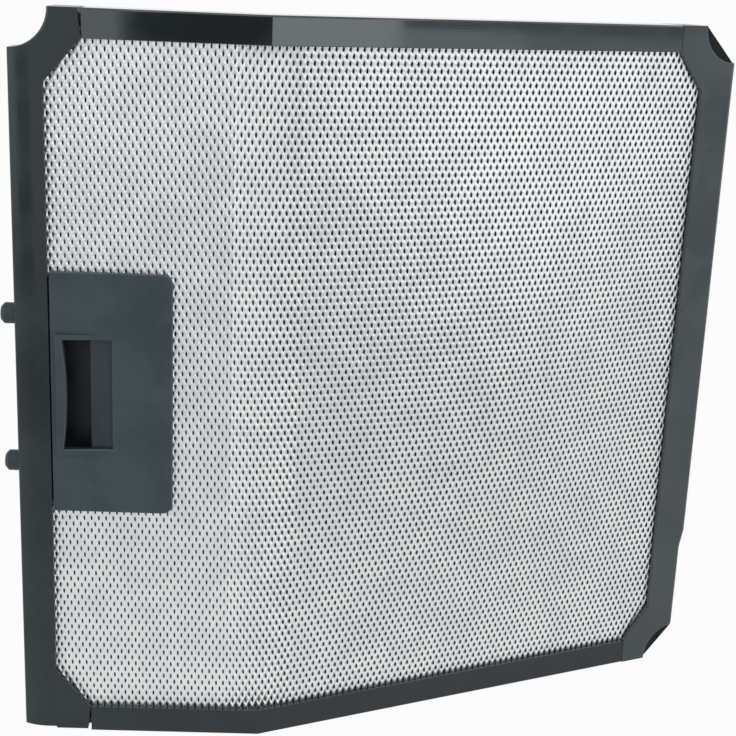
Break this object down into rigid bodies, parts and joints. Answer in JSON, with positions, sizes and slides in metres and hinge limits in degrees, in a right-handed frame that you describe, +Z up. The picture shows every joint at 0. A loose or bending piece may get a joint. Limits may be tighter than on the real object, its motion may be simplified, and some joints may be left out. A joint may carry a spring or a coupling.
{
  "type": "cooker hood carbon filter",
  "caption": "Bent rectangular cooker hood filter: carbon pad between expanded metal meshes in a plastic frame, with a sprung finger latch on its narrow end.",
  "frame": {"origin": "centre of the filter's box, on the surface that its lower rail stands on", "axes": "+Z up along the crease, -Y the way the latch panel faces, +X from the latch panel towards the wide panel"},
  "size_m": [0.3238, 0.1116, 0.32],
  "materials": {
    "frame_plastic": "satin moulded, slate grey",
    "rail_plastic": "semi-gloss extruded, slate grey",
    "latch_plastic": "satin moulded, slate grey",
    "mesh_aluminium": "bright expanded metal",
    "carbon_felt": "matt black carbon felt",
    "spring_steel": "drawn wire"
  },
  "bodies": {
    "frame": {"latch_end_cap": "frame_plastic", "wide_end_cap": "frame_plastic", "top_rail": "rail_plastic", "bottom_rail": "rail_plastic", "front_mesh": "mesh_aluminium", "rear_mesh": "mesh_aluminium", "carbon_pad": "carbon_felt", "latch_plate": "latch_plastic", "latch_tray": "latch_plastic", "upper_latch_spring": "spring_steel", "lower_latch_spring": "spring_steel"},
    "latch": {"latch_slider": "latch_plastic"}
  },
  "joints": [
    {"name": "latch_slide", "type": "slide", "parent": "frame", "child": "latch", "axis": [1, 0, 0], "range_m": [0, 0.0065], "stiffness_N_per_m": 400, "springref_m": -0.004, "deforming": ["upper_latch_spring", "lower_latch_spring"]}
  ]
}
